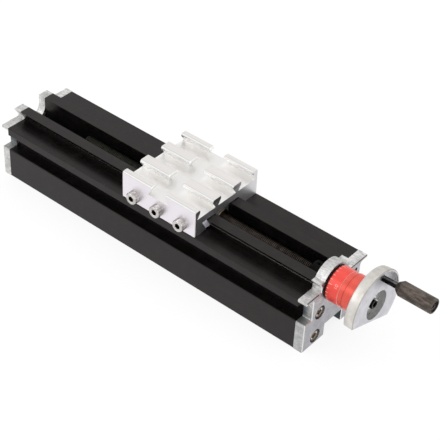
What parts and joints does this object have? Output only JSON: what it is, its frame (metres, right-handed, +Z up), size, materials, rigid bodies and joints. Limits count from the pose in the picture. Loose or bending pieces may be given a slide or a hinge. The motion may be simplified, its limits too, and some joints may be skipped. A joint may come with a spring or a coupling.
{
  "type": "cross slide",
  "caption": "Hand-cranked linear slide: a dovetail carriage with clamping grooves is drawn along an extruded bed by a lead screw with handwheel and graduated dial.",
  "frame": {"origin": "middle of the bed extrusion's underside, on the centre line of its T-slot", "axes": "+X along the bed toward the handwheel, +Y across the bed toward the side without screw heads, +Z up out of the carriage's table"},
  "size_m": [0.2644, 0.0532, 0.0526],
  "materials": {
    "bed_black": "black anodised, satin",
    "plate_metal": "cast, lightly blasted",
    "carriage_metal": "milled, clear anodised, satin",
    "handwheel_metal": "cast and turned, satin",
    "plate_screw_steel": "nickel plated, warm grey",
    "gib_screw_steel": "nickel plated",
    "washer_steel": "bright",
    "collar_steel": "turned, black oxide",
    "lead_screw_steel": "dark, oiled",
    "black_steel": "black oxide",
    "spacer_black": "black anodised",
    "axle_black": "black oxide",
    "grip_dark": "turned, dark brown anodised",
    "hub_red": "turned, red anodised",
    "dial_red": "turned, red anodised, white marks",
    "rubber": "black",
    "brass": "turned, dark with oil",
    "bronze": "turned bronze",
    "gib_plastic": "off-white"
  },
  "bodies": {
    "bed": {"bed_extrusion": "bed_black", "front_end_plate": "plate_metal", "rear_end_plate": "plate_metal", "front_plate_screws": "plate_screw_steel", "rear_plate_screws": "plate_screw_steel", "spindle_bush": "bronze", "spacer_ring": "spacer_black"},
    "carriage": {"carriage": "carriage_metal", "gib_strip": "gib_plastic", "gib_screws": "gib_screw_steel", "lead_nut": "brass", "nut_set_screw": "black_steel"},
    "spindle": {"lead_screw": "lead_screw_steel", "thrust_washer": "washer_steel", "thrust_collar": "collar_steel", "collar_set_screw": "black_steel", "dial_hub": "hub_red", "dial_friction_ring": "rubber", "handwheel": "handwheel_metal", "handwheel_washer": "washer_steel", "handwheel_screw": "black_steel", "crank_axle": "axle_black"},
    "dial": {"dial_ring": "dial_red"},
    "grip": {"crank_grip": "grip_dark"}
  },
  "joints": [
    {"name": "screw_turn", "type": "hinge", "parent": "bed", "child": "spindle", "pos_m": [0.11, -0.0028, 0.0333], "axis": [-1, 0, 0], "range_deg": [-30600, 20880]},
    {"name": "carriage_slide", "type": "slide", "parent": "bed", "child": "carriage", "axis": [1, 0, 0], "range_m": [-0.085, 0.058]},
    {"name": "dial_zero", "type": "hinge", "parent": "spindle", "child": "dial", "pos_m": [0.112, -0.0028, 0.0333], "axis": [-1, 0, 0], "continuous": true},
    {"name": "grip_spin", "type": "hinge", "parent": "spindle", "child": "grip", "pos_m": [0.147, 0.00644, 0.04238], "axis": [1, 0, 0], "continuous": true}
  ],
  "couplings": [
    {"joint": "carriage_slide", "follows": "screw_turn", "m_per_rad": 0.00015915}
  ]
}
